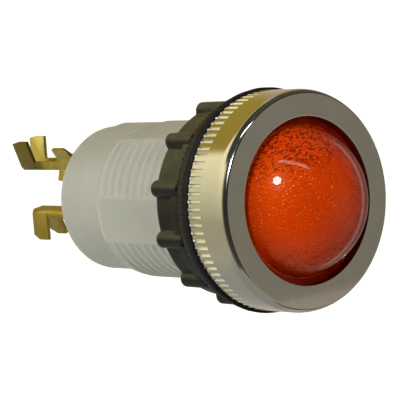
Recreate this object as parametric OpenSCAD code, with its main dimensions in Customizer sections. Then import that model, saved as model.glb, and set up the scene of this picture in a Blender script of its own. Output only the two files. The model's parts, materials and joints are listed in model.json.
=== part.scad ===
/* [Panel seat and barrel] */
// Outer diameter of the threaded barrel
barrel_d = 27; // [26:0.5:28]
// Length of the threaded barrel behind the panel seat
thread_len = 28.6; // [26:0.1:30]
// Outer diameter of the plain rear part of the body
rear_d = 24.9; // [24.4:0.1:25.4]
// Distance from the panel seat to the rear face of the body
body_len = 39.6; // [38:0.1:41]
// Bore of the body
cavity_d = 22.4; // [22:0.1:22.6]
// Thickness of the rear wall of the body
rear_wall = 2; // [1.5:0.1:2.5]
// Distance of the long side flat from the barrel axis
side_flat = 12.95; // [12.6:0.05:13.2]
// Distance of the upper flat from the barrel axis
top_flat = 12.2; // [12:0.05:12.6]
// Where the upper flat starts behind the panel seat
top_flat_start = 4; // [4:0.5:27]

/* [Head] */
// Diameter of the head that carries the bezel thread
head_d = 33; // [32:0.5:33.4]
// Axial length of the head
head_len = 5; // [4.5:0.1:5.5]

/* [Front gasket] */
// Outer diameter of the front gasket
gasket_d = 36.9; // [36:0.1:37.4]
// Thickness of the front gasket
gasket_t = 1.1; // [0.8:0.1:1.4]

/* [Bezel] */
// Outer diameter of the bezel
bezel_d = 36; // [35:0.5:37]
// Diameter of the hole in the front of the bezel
window_d = 27.1; // [26:0.1:28]
// Overall axial length of the bezel
bezel_len = 8.84; // [8.6:0.02:9.2]
// Thickness of the front wall of the bezel
bezel_wall = 1.64; // [1.4:0.02:1.8]
// Radius of the rounded front edge
bezel_edge_r = 0.85; // [0.4:0.05:0.9]
// Number of grip flutes round the rear of the bezel
flutes = 90; // [60:2:100]
// Half diagonal of the square cutter of one flute, which leaves a right-angled groove
flute_r = 0.5; // [0.4:0.02:0.7]
// Depth of a flute
flute_depth = 0.3; // [0.1:0.02:0.36]
// Length of the fluted band
flute_len = 3.1; // [2:0.1:4]

/* [Lens] */
// Outer radius of the dome
dome_r = 12.75; // [12.5:0.05:13]
// Distance of the dome centre in front of the panel seat
dome_c = 5.3; // [5:0.1:5.6]
// Wall thickness of the dome
dome_wall = 1.5; // [1.2:0.1:2]
// Diameter of the lens flange
lens_flange_d = 31.8; // [31:0.1:31.9]
// Thickness of the lens flange
lens_flange_t = 1.4; // [1:0.1:1.5]

/* [Washer and ring nut] */
// Bore of the toothed washer
washer_bore_d = 27.6; // [27.4:0.1:28]
// Outer diameter of the toothed washer
washer_d = 36; // [35:0.1:36.4]
// Thickness of the toothed washer
washer_t = 2.5; // [2.2:0.1:2.8]
// Number of teeth round the washer rims
washer_teeth = 120; // [90:2:140]
// Radial clearance between the nut bore and the barrel
nut_clear = 0.06; // [0.02:0.01:0.1]
// Outer diameter of the nut body
nut_d = 32; // [31:0.1:32.4]
// Outer diameter of the nut flange
nut_flange_d = 33.6; // [33:0.1:34.2]
// Thickness of the nut flange
nut_flange_t = 2.05; // [1.8:0.05:2.4]
// Overall length of the nut
nut_len = 6.7; // [6:0.05:7]
// Number of grip lugs on the nut
nut_lugs = 12; // [8:1:14]
// Radius of one grip lug
lug_r = 1.45; // [1.1:0.05:1.6]

/* [Lamp and holder] */
// Diameter of the lamp glass
glass_d = 10; // [9.5:0.1:10.4]
// Diameter over the screw cap of the lamp
cap_d = 9.54; // [9.4:0.02:9.6]
// Overall length of the lamp
lamp_len = 28; // [27:0.5:29]
// Front face of the carrier plate behind the panel seat
plate_y = 21; // [20:0.5:22]
// Thickness of the carrier plate
plate_t = 3; // [2.5:0.5:3]

/* [Terminals] */
// Thickness of the brass strip
strip_t = 0.7; // [0.5:0.05:0.9]
// Width of the strip
strip_w = 2.8; // [2.4:0.1:3]
// Length of the wire wings along the strip
wing_len = 4.2; // [3.6:0.1:4.6]
// Height of the wire wings above the strip
wing_h = 5.2; // [4.6:0.1:5.4]
// Where the long terminals end behind the panel seat
tip_y = 63.6; // [60:0.2:66]
// Where the short side terminal ends behind the panel seat
side_tip_y = 50.2; // [47:0.2:51]

/* [Hidden] */
$fn = 96;

barrel_r = barrel_d / 2;
rear_r = rear_d / 2;
cavity_r = cavity_d / 2;
head_r = head_d / 2;
head_y = -gasket_t - head_len;          // front face of the head
face_y = -gasket_t - bezel_len;         // front face of the bezel
seat_y = face_y + bezel_wall;           // where the lens flange seats
flange_y = seat_y + lens_flange_t;      // rear of the lens flange
bezel_r = bezel_d / 2;
plate_rear = plate_y + plate_t;
inner_r = cavity_r - 0.7;               // bore behind the carrier plate
rear_in = body_len - rear_wall;         // inner side of the rear wall
up_z = 5.5;                             // mid height of the upper strip
low_z = -2.55;                          // mid height of the lower strip
side_x = -2.7;                          // mid plane of the side strip
side_z = 7.5;                           // mid height of the side strip
rivet_r = 0.9;
rivets_at = [[0, 8.0], [0, -8.2], [-4.6, 7.5]];

// Cylinder along Y from y0 to y1
module cyl_y(r, y0, y1, x = 0, z = 0) {
    translate([x, y0, z]) rotate([-90, 0, 0]) cylinder(r = r, h = y1 - y0);
}
// Ring along Y
module tube_y(ro, ri, y0, y1) {
    difference() {
        cyl_y(ro, y0, y1);
        cyl_y(ri, y0 - 1, y1 + 1);
    }
}
// Solid of revolution about Y from [radius, y] points
module rev_y(pts) {
    rotate([-90, 0, 0]) rotate_extrude() polygon(pts);
}
// Extrude an [x, z] outline along Y from y0 to y1
module ext_y(y0, y1) {
    translate([0, y1, 0]) rotate([90, 0, 0]) linear_extrude(height = y1 - y0) children();
}
// Block from its two corners
module block(a, b) { translate(a) cube(b - a); }

// Barrel, head and rear wall in one moulding
module housing() color([0.82, 0.83, 0.74]) difference() {
    union() {
        // head that carries the bezel
        rev_y([[0, head_y], [head_r - 0.4, head_y], [head_r, head_y + 0.4],
               [head_r, -gasket_t], [0, -gasket_t]]);
        // threaded barrel with its two flats
        difference() {
            rev_y([[0, -gasket_t - 0.5], [barrel_r, -gasket_t - 0.5], [barrel_r, thread_len - 0.3],
                   [barrel_r - 0.3, thread_len], [0, thread_len]]);
            block([-barrel_r - 1, 4, -barrel_r], [-side_flat, thread_len + 1, barrel_r]);
            block([-barrel_r, top_flat_start, top_flat], [barrel_r, thread_len + 1, barrel_r + 1]);
        }
        // plain rear part
        rev_y([[0, thread_len - 1], [rear_r, thread_len - 1], [rear_r, body_len - 0.4],
               [rear_r - 0.4, body_len], [0, body_len]]);
        // key pad along the top of the rear part
        block([-2.4, thread_len - 1, 9], [4.9, body_len, top_flat]);
    }
    // bore for the lamp holder, and a narrower bore behind it
    cyl_y(cavity_r, head_y - 1, plate_rear);
    cyl_y(inner_r, plate_rear - 1, rear_in);
    // terminal slots through the rear wall
    block([-strip_w / 2 - 0.15, rear_in - 1, up_z - strip_t / 2 - 0.15],
          [strip_w / 2 + 0.15, body_len + 1, up_z + strip_t / 2 + 0.15]);
    block([-strip_w / 2 - 0.15, rear_in - 1, low_z - strip_t / 2 - 0.15],
          [strip_w / 2 + 0.15, body_len + 1, low_z + strip_t / 2 + 0.15]);
    block([side_x - strip_t / 2 - 0.15, rear_in - 1, side_z - 1.35],
          [side_x + strip_t / 2 + 0.15, body_len + 1, side_z + 1.35]);
}

// Rubber ring between the head and the panel
module front_gasket() color([0.07, 0.07, 0.08]) {
    go = gasket_d / 2;
    rev_y([[barrel_r + 0.05, -gasket_t], [go - 0.2, -gasket_t], [go, -gasket_t + 0.2],
           [go, -0.2], [go - 0.2, 0], [barrel_r + 0.05, 0]]);
}

// Quarter round of the front edge, as [radius, y] points
function edge_arc(n) = [for (i = [0:n]) let (a = -90 + 90 * i / n)
    [bezel_r - bezel_edge_r + bezel_edge_r * cos(a), face_y + bezel_edge_r + bezel_edge_r * sin(a)]];

// Plated ring with a fluted grip band, threaded inside
module bezel() color([0.72, 0.70, 0.62]) difference() {
    rev_y(concat([[window_d / 2, seat_y], [window_d / 2, face_y + 0.15], [window_d / 2 + 0.15, face_y]],
                 edge_arc(4),
                 [[bezel_r, -gasket_t - 0.1], [bezel_r - 0.1, -gasket_t],
                  [head_r + 0.08, -gasket_t], [head_r + 0.08, head_y],
                  [lens_flange_d / 2 + 0.2, head_y], [lens_flange_d / 2 + 0.2, seat_y]]));
    for (i = [0:flutes - 1]) rotate([0, 360 / flutes * i, 0])
        translate([bezel_r - flute_depth + flute_r, -gasket_t - flute_len, 0])
            rotate([-90, 0, 0]) cylinder(r = flute_r, h = flute_len + 1, $fn = 4);
}

// Domed lens with its flange
module lens() color([0.85, 0.27, 0.03]) difference() {
    union() {
        intersection() {
            translate([0, -dome_c, 0]) sphere(r = dome_r);
            cyl_y(dome_r + 1, -dome_c - dome_r - 1, flange_y);
        }
        cyl_y(lens_flange_d / 2, seat_y, flange_y);
    }
    translate([0, -dome_c, 0]) sphere(r = dome_r - dome_wall);
    cyl_y(dome_r - dome_wall - 0.05, -dome_c - 1, flange_y + 1);
}

// Rubber ring between the lens flange and the head
module lens_gasket() color([0.1, 0.1, 0.1])
    tube_y(lens_flange_d / 2, 13.2, flange_y, head_y);

// Star outline with n teeth between two radii
function star(n, ro, ri) = [for (i = [0:2 * n - 1]) let (a = 180 / n * i, r = i % 2 == 0 ? ro : ri)
    [r * cos(a), r * sin(a)]];

// Locking ring with fine teeth round both rims
module toothed_washer() color([0.27, 0.27, 0.24]) difference() {
    union() {
        ext_y(0, 0.6) polygon(star(washer_teeth, washer_d / 2, washer_d / 2 - 0.28));
        cyl_y(washer_d / 2 - 0.12, 0.6, washer_t - 0.75);
        ext_y(washer_t - 0.75, washer_t) polygon(star(washer_teeth, washer_d / 2 - 0.4, washer_d / 2 - 0.68));
    }
    cyl_y(washer_bore_d / 2, -1, washer_t + 1);
}

// Ring nut with a flange, half-round grip lugs and countersunk mouths
module ring_nut() color([0.30, 0.30, 0.25]) {
    y0 = washer_t + 0.02;
    y1 = y0 + nut_len;
    rf = nut_flange_d / 2;
    rb = nut_d / 2;
    bore = barrel_r + nut_clear;
    difference() {
        union() {
            cyl_y(rf, y0, y0 + nut_flange_t);
            ext_y(y0 + 0.4, y1) {
                circle(r = rb);
                for (i = [0:nut_lugs - 1]) rotate(7 + 360 / nut_lugs * i)
                    translate([rb - 0.05, 0]) circle(r = lug_r);
            }
        }
        rev_y([[0, y0 - 1], [bore + 1.5, y0 - 1], [bore, y0 + 0.5], [bore, y1 - 0.5],
               [bore + 1.5, y1 + 1], [0, y1 + 1]]);
    }
}

// Small filament lamp, sealed, as one solid
module lamp() color([0.86, 0.84, 0.72]) {
    g = glass_d / 2;
    c = cap_d / 2;
    tip = plate_y + 1;                  // end contact
    top = tip - lamp_len;               // top of the glass
    translate([0, top + g, 0]) sphere(r = g);
    rev_y([[0, top + g], [g, top + g], [g, tip - 11.5], [c - 0.3, tip - 9.8],
           [c, tip - 9.5], [c, tip - 2.6], [2.9, tip - 1.5], [2.4, tip - 1],
           [1.9, tip - 0.4], [1.5, tip - 0.1], [1, tip], [0, tip]]);
}

// Screw shell of the holder, with its base ear
module lamp_shell() color([0.72, 0.60, 0.25]) difference() {
    union() {
        cyl_y(cap_d / 2 + 0.45, 12.2, plate_y);
        block([-1.5, plate_y - 0.4, 3], [1.5, plate_y, 9.6]);
    }
    cyl_y(cap_d / 2 + 0.05, 11, plate_y - 0.4);
    cyl_y(3.2, 11, plate_y + 1);
    cyl_y(rivet_r, plate_y - 1, plate_y + 1, x = rivets_at[0][0], z = rivets_at[0][1]);
}

// Moulded carrier: a round plate with a collar round the shell
module lamp_carrier() color([0.20, 0.13, 0.08]) difference() {
    union() {
        cyl_y(cavity_r - 0.02, plate_y, plate_rear);
        cyl_y(6.7, 13, plate_y);
    }
    cyl_y(cap_d / 2 + 0.48, 12, plate_y);
    cyl_y(2.6, 12, plate_rear + 1);
    // way out for the ear of the shell
    block([-1.7, plate_y - 0.8, 4], [1.7, plate_y, 8]);
    for (p = rivets_at) cyl_y(rivet_r, plate_y - 1, plate_rear + 1, x = p[0], z = p[1]);
}

// Spring strip that presses on the end contact of the lamp
module centre_contact() color([0.72, 0.50, 0.28]) {
    p = rivets_at[2];
    len = norm(p);
    difference() {
        union() {
            rotate([0, -atan2(p[1], p[0]), 0]) block([0, plate_rear, -1.1], [len, plate_rear + 0.4, 1.1]);
            cyl_y(1.5, plate_rear, plate_rear + 0.4);
            cyl_y(1.5, plate_rear, plate_rear + 0.4, x = p[0], z = p[1]);
            cyl_y(1.1, plate_y + 1.03, plate_rear + 0.2);
        }
        cyl_y(rivet_r, plate_rear - 1, plate_rear + 1, x = p[0], z = p[1]);
    }
}

// One hollow rivet from y0 to y1, heads outside
module rivet(p, y0, y1) difference() {
    union() {
        cyl_y(rivet_r, y0, y1, x = p[0], z = p[1]);
        cyl_y(1.4, y0 - 0.35, y0, x = p[0], z = p[1]);
        cyl_y(1.4, y1, y1 + 0.35, x = p[0], z = p[1]);
    }
    cyl_y(0.45, y0 - 1, y1 + 1, x = p[0], z = p[1]);
}
// Three hollow rivets through the carrier plate
module contact_rivets() color([0.78, 0.66, 0.30]) {
    rivet(rivets_at[0], plate_y - 0.4, plate_rear + strip_t);
    rivet(rivets_at[1], plate_y, plate_rear + strip_t);
    rivet(rivets_at[2], plate_y, plate_rear + 0.4 + strip_t);
}

// Centre line of a formed channel: wing, round corner, web, round corner, wing
function channel_line(hw, h, splay, cr) =
    let (n = 4, a1 = 90 - splay)
    let (right = [for (i = [0:n]) let (a = a1 * i / n) [hw - cr * tan(a1 / 2) + cr * sin(a), cr - cr * cos(a)]])
    let (e = right[n])
    let (all = concat(right, [[e[0] + (h - e[1]) * tan(splay), h]]))
    concat([for (i = [len(all) - 1:-1:0]) [-all[i][0], all[i][1]]], all);
// Unit normal of a polyline at point i
function seg(p, i) = let (d = p[i + 1] - p[i]) d / norm(d);
function pnorm(p, i) = let (n = len(p) - 1,
    a = i == 0 ? seg(p, 0) : seg(p, i - 1), b = i == n ? seg(p, n - 1) : seg(p, i),
    m = (a + b) / norm(a + b), k = 1 / (m * a)) [-m[1], m[0]] * k;
// Strip of thickness t along a polyline
function thick(p, t) = concat([for (i = [0:len(p) - 1]) p[i] + pnorm(p, i) * t / 2],
                              [for (i = [len(p) - 1:-1:0]) p[i] - pnorm(p, i) * t / 2]);

// Wire wings at the end of a terminal, opening up from z = 0, ending at y1
module wings(y1, h = wing_h, hw = 1.15, splay = 10, bevel = 0.9) intersection() {
    ext_y(y1 - wing_len, y1) polygon(thick(channel_line(hw, h, splay, 0.7), strip_t * 0.85));
    rotate([90, 0, 90]) translate([0, 0, -6]) linear_extrude(height = 12)
        polygon([[y1 - wing_len, -1], [y1, -1], [y1, h - bevel], [y1 - 1.9, h + 0.1], [y1 - wing_len, h + 0.1]]);
}
// Low side walls behind the wings
module neck(y0, y1, h = 1.3) ext_y(y0, y1)
    polygon(thick(channel_line(1.15, h, 4, 0.7), strip_t * 0.85));

// Long terminal: foot on the plate, strip through the wall, wings at its end
module long_terminal(z, rz, bevel) difference() {
    union() {
        block([-strip_w / 2, plate_rear, -strip_t / 2], [strip_w / 2, tip_y - 11, strip_t / 2]);
        block([-strip_w / 2, plate_rear, -strip_t / 2], [strip_w / 2, plate_rear + strip_t, abs(rz - z) + 1.6]);
        block([-1.1, tip_y - 12, -strip_t / 2 + 0.05], [1.1, tip_y, strip_t / 2 - 0.05]);
        neck(tip_y - 11.6, tip_y - wing_len + 0.1);
        wings(tip_y, bevel = bevel);
    }
    cyl_y(rivet_r, plate_rear - 1, plate_rear + 2, z = abs(rz - z));
}
module terminal_upper() color([0.74, 0.60, 0.22])
    translate([0, 0, up_z]) long_terminal(up_z, rivets_at[0][1], 0.25);
module terminal_lower() color([0.74, 0.60, 0.22])
    translate([0, 0, low_z]) rotate([0, 180, 0]) long_terminal(low_z, rivets_at[1][1], 0.9);

// Wide, shallow wings of the side terminal, with cut corners, ending at y1
module side_wings(y1) intersection() {
    ext_y(y1 - wing_len, y1) polygon(thick(channel_line(1, 0.86, 66, 0.7), strip_t * 0.85));
    translate([0, 0, -2]) linear_extrude(height = 6)
        polygon([[-2.1, y1 + 1], [-4, y1 - 1.6], [-4, y1 - 3], [-1.9, y1 - 4.3],
                 [1.9, y1 - 4.3], [4, y1 - 2.2], [4, y1 + 1]]);
}
// Short side terminal, opening to the side
module terminal_side() color([0.74, 0.60, 0.22]) difference() {
    union() {
        block([side_x - strip_t / 2, plate_rear + 0.4, side_z - 1.2],
              [side_x + strip_t / 2, side_tip_y - wing_len + 0.4, side_z + 1.2]);
        block([side_x - 3.3, plate_rear + 0.4, side_z - 1.2],
              [side_x + strip_t / 2, plate_rear + 0.4 + strip_t, side_z + 1]);
        translate([side_x, 0, side_z - 0.6]) rotate([0, -90, 0]) side_wings(side_tip_y);
    }
    cyl_y(rivet_r, plate_rear - 1, plate_rear + 2, x = rivets_at[2][0], z = rivets_at[2][1]);
}

// Straight piece of round wire between two points
module wire(a, b, r) {
    d = b - a;
    l = norm(d);
    translate(a) rotate([0, acos(d[2] / l), atan2(d[1], d[0])]) cylinder(r = r, h = l, $fn = 24);
}
// Wire-ended resistor: body and formed leads
module ballast_resistor() color([0.45, 0.52, 0.42]) {
    w = 0.35;
    c = [6, 31.5, 0.5];
    rev = [[0, -4.6], [1.6, -4.6], [2.1, -4.3], [2.25, -3.6], [2.1, -2.9], [2.1, 2.9], [2.25, 3.6], [2.1, 4.3], [1.6, 4.6], [0, 4.6]];
    translate(c) rev_y(rev);
    p1 = [6, plate_rear + 0.4 + w, 0.5];
    p2 = [0.6, plate_rear + 0.4 + w, 0.5];
    wire([6, 27.2, 0.5], p1, w);
    translate(p1) sphere(r = w, $fn = 24);
    wire(p1, p2, w);
    p3 = [6, 36.75, 0.5];
    p4 = [1.0, 36.75, low_z + strip_t / 2 + w];
    wire([6, 35.8, 0.5], p3, w);
    translate(p3) sphere(r = w, $fn = 24);
    wire(p3, p4, w);
    translate(p4) sphere(r = w, $fn = 24);
}
// Insulating sleeve on the long lead of the resistor
module lead_sleeve() color([0.85, 0.80, 0.60]) {
    a = [5.1, plate_rear + 0.75, 0.5];
    b = [2.2, plate_rear + 0.75, 0.5];
    difference() {
        wire(a, b, 0.75);
        wire(a + [1, 0, 0], b - [1, 0, 0], 0.36);
        block([0, plate_rear - 1, -2], [8, plate_rear + 0.02, 3]);
    }
}

housing();
front_gasket();
bezel();
lens();
lens_gasket();
toothed_washer();
ring_nut();
lamp();
lamp_shell();
lamp_carrier();
centre_contact();
contact_rivets();
terminal_upper();
terminal_lower();
terminal_side();
ballast_resistor();
lead_sleeve();
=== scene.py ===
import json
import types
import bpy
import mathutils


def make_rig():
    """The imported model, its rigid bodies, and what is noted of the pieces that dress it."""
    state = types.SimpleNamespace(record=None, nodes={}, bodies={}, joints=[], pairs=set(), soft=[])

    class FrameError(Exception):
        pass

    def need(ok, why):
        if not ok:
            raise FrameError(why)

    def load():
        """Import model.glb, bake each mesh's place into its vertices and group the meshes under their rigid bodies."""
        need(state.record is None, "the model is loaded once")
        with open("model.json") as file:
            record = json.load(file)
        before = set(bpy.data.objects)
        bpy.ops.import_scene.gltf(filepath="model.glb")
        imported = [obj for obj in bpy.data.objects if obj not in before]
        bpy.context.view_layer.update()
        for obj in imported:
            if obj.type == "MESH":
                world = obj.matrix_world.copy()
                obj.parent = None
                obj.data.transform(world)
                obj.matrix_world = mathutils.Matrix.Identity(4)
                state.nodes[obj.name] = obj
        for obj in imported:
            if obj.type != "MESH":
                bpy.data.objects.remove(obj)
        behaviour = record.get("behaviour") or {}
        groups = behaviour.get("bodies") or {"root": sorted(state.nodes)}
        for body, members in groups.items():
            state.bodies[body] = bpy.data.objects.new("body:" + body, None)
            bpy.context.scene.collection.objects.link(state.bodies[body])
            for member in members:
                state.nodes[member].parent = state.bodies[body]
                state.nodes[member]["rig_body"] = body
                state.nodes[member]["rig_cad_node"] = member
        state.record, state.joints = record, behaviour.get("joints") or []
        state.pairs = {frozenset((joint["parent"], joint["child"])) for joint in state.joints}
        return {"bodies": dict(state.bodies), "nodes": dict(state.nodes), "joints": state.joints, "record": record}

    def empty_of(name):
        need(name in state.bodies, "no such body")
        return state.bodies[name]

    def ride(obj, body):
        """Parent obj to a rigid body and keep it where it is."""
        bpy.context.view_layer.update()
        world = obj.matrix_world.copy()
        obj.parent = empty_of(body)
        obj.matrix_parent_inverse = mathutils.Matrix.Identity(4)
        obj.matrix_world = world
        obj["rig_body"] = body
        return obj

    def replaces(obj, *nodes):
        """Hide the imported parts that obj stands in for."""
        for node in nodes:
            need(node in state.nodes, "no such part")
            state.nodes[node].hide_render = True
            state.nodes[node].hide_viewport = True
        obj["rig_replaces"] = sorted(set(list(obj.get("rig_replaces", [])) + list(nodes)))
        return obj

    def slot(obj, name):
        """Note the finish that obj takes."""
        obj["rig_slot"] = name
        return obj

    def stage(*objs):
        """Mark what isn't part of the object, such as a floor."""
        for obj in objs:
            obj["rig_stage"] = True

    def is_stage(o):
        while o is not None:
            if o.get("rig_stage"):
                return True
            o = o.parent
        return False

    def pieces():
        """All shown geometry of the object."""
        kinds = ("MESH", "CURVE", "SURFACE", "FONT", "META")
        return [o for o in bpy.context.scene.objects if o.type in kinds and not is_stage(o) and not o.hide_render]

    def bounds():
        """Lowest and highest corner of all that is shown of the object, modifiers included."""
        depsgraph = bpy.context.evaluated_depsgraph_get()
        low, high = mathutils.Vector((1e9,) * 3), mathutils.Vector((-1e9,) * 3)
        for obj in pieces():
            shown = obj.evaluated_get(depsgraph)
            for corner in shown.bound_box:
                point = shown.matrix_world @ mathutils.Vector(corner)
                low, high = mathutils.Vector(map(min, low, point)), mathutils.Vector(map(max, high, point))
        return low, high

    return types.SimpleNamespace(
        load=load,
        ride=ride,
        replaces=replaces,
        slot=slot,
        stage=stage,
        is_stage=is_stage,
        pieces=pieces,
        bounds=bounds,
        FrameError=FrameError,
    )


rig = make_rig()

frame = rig.load()
cad_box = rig.bounds()

import json
import math
import bpy
import bmesh
import numpy as np
from mathutils import Matrix, Vector, noise, geometry

MM = 0.001
TAU = 2 * math.pi
sc = bpy.context.scene
sc.view_settings.view_transform = "Standard"
sc.view_settings.look = "None"

# ---------------------------------------------------------------- camera
cam_data = bpy.data.cameras.new("camera")
cam_data.lens = 216.0
cam_data.sensor_width = 36.0
cam_data.clip_start = 0.01
cam_data.clip_end = 50.0
cam = bpy.data.objects.new("camera", cam_data)
sc.collection.objects.link(cam)
right = Vector((0.73152742, -0.64784206, -0.21252836))
up = Vector((0.29007046, 0.01362112, 0.95690835))
back = Vector((-0.6170306, -0.76165289, 0.19788407))
rot = Matrix((right, up, back)).transposed().to_4x4()
cam.matrix_world = Matrix.Translation(Vector((-0.24969472, -0.2911968, 0.0798561))) @ rot
sc.camera = cam


# ---------------------------------------------------------------- node helpers
def new_mat(name):
    m = bpy.data.materials.new(name)
    m.use_nodes = True
    nt = m.node_tree
    return m, nt, nt.nodes["Principled BSDF"]


def node(nt, kind, **kw):
    n = nt.nodes.new(kind)
    for k, v in kw.items():
        if k.startswith("in_"):
            key = k[3:]
            n.inputs[int(key) if key.isdigit() else key.replace("_", " ").title()].default_value = v
        else:
            setattr(n, k, v)
    return n


def coords(nt, scale=(1, 1, 1)):
    """Object coordinates in millimetres."""
    tc = nt.nodes.new("ShaderNodeTexCoord")
    mp = nt.nodes.new("ShaderNodeMapping")
    mp.inputs["Scale"].default_value = tuple(1000 * s for s in scale)
    nt.links.new(tc.outputs["Object"], mp.inputs["Vector"])
    return mp.outputs["Vector"]


def noise_tex(nt, vec, scale, detail=3.0, rough=0.5, distortion=0.0):
    n = nt.nodes.new("ShaderNodeTexNoise")
    n.inputs["Scale"].default_value = scale
    n.inputs["Detail"].default_value = detail
    n.inputs["Roughness"].default_value = rough
    n.inputs["Distortion"].default_value = distortion
    nt.links.new(vec, n.inputs["Vector"])
    return n.outputs["Fac"]


def ramp(nt, fac, stops, interp="LINEAR"):
    r = nt.nodes.new("ShaderNodeValToRGB")
    r.color_ramp.interpolation = interp
    els = r.color_ramp.elements
    while len(els) < len(stops):
        els.new(0.5)
    for e, (p, c) in zip(els, stops):
        e.position = p
        e.color = (*c, 1) if len(c) == 3 else c
    nt.links.new(fac, r.inputs["Fac"])
    return r.outputs["Color"]


def maprange(nt, val, a, b, c, d, smooth=False):
    m = nt.nodes.new("ShaderNodeMapRange")
    m.interpolation_type = "SMOOTHSTEP" if smooth else "LINEAR"
    m.inputs["From Min"].default_value = a
    m.inputs["From Max"].default_value = b
    m.inputs["To Min"].default_value = c
    m.inputs["To Max"].default_value = d
    nt.links.new(val, m.inputs["Value"])
    return m.outputs["Result"]


def bump(nt, height, strength, dist_mm, normal=None):
    b = nt.nodes.new("ShaderNodeBump")
    b.inputs["Strength"].default_value = strength
    b.inputs["Distance"].default_value = dist_mm * MM
    nt.links.new(height, b.inputs["Height"])
    if normal is not None:
        nt.links.new(normal, b.inputs["Normal"])
    return b.outputs["Normal"]


def mix_rgb(nt, fac, a, b, mode="MIX"):
    m = nt.nodes.new("ShaderNodeMix")
    m.data_type = "RGBA"
    m.blend_type = mode
    for sock, v in ((m.inputs["Factor"], fac), (m.inputs["A"], a), (m.inputs["B"], b)):
        pass
    ins = [s for s in m.inputs if s.enabled]
    for s, v in zip(ins, (fac, a, b)):
        if isinstance(v, (int, float)):
            s.default_value = v
        elif isinstance(v, tuple):
            s.default_value = (*v, 1) if len(v) == 3 else v
        else:
            nt.links.new(v, s)
    return [o for o in m.outputs if o.enabled][0]


def math_node(nt, op, a, b=None):
    m = nt.nodes.new("ShaderNodeMath")
    m.operation = op
    for i, v in enumerate((a, b)):
        if v is None:
            continue
        if isinstance(v, (int, float)):
            m.inputs[i].default_value = v
        else:
            nt.links.new(v, m.inputs[i])
    return m.outputs[0]


# ---------------------------------------------------------------- materials
def mat_metal():
    m, nt, b = new_mat("plated_metal")
    v = coords(nt)
    sep = nt.nodes.new("ShaderNodeSeparateXYZ")
    nt.links.new(v, sep.inputs[0])
    face = maprange(nt, sep.outputs["Y"], -9.8, -9.9, 0, 1, True)
    n1 = noise_tex(nt, v, 0.35, 3)
    plain = ramp(nt, n1, [(0.3, (0.61, 0.585, 0.51)), (0.7, (0.65, 0.625, 0.545))])
    rad = math_node(nt, "SQRT", math_node(nt, "ADD", math_node(nt, "MULTIPLY", sep.outputs["X"], sep.outputs["X"]),
                                          math_node(nt, "MULTIPLY", sep.outputs["Z"], sep.outputs["Z"])))
    # painted highlight: the side grooves get a pale base colour, standing for the bright cream bars, and a rougher
    # finish
    cut = math_node(nt, "MULTIPLY", maprange(nt, rad, 17.97, 17.88, 0, 1, True), maprange(nt, sep.outputs["Y"], -4.3, -4.15, 0, 1, True))
    # painted shade: the wall of the hole is painted dull brown, standing for the dark edge of shade round the lens
    wall = math_node(nt, "MULTIPLY", maprange(nt, rad, 13.68, 13.60, 0, 1, True), maprange(nt, sep.outputs["Y"], -9.85, -9.75, 0, 1, True))
    nt.links.new(mix_rgb(nt, wall, mix_rgb(nt, cut, plain, (0.95, 0.93, 0.85)), (0.27, 0.15, 0.10)), b.inputs["Base Color"])
    n2 = noise_tex(nt, v, 1.4, 5, 0.6)
    side = math_node(nt, "ADD", maprange(nt, n2, 0.35, 0.75, 0.075, 0.14), math_node(nt, "MULTIPLY", cut, 0.30))
    flat = maprange(nt, n2, 0.35, 0.75, 0.022, 0.045)
    mx = nt.nodes.new("ShaderNodeMix")
    mx.data_type = "FLOAT"
    nt.links.new(face, mx.inputs[0])
    nt.links.new(side, mx.inputs[2])
    nt.links.new(flat, mx.inputs[3])
    nt.links.new(mx.outputs[0], b.inputs["Roughness"])
    vs = coords(nt, (6, 0.7, 6))
    n3 = noise_tex(nt, vs, 1.5, 4, 0.6)
    h = math_node(nt, "MULTIPLY", n3, maprange(nt, sep.outputs["Y"], -9.4, -8.9, 0.04, 1, True))
    nt.links.new(bump(nt, h, 0.05, 0.01), b.inputs["Normal"])
    b.inputs["Metallic"].default_value = 1.0
    return m


def scaled(nt, vec, k, shift=(0, 0, 0)):
    mp = nt.nodes.new("ShaderNodeMapping")
    mp.inputs["Scale"].default_value = k
    mp.inputs["Location"].default_value = shift
    nt.links.new(vec, mp.inputs["Vector"])
    return mp.outputs["Vector"]


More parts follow.
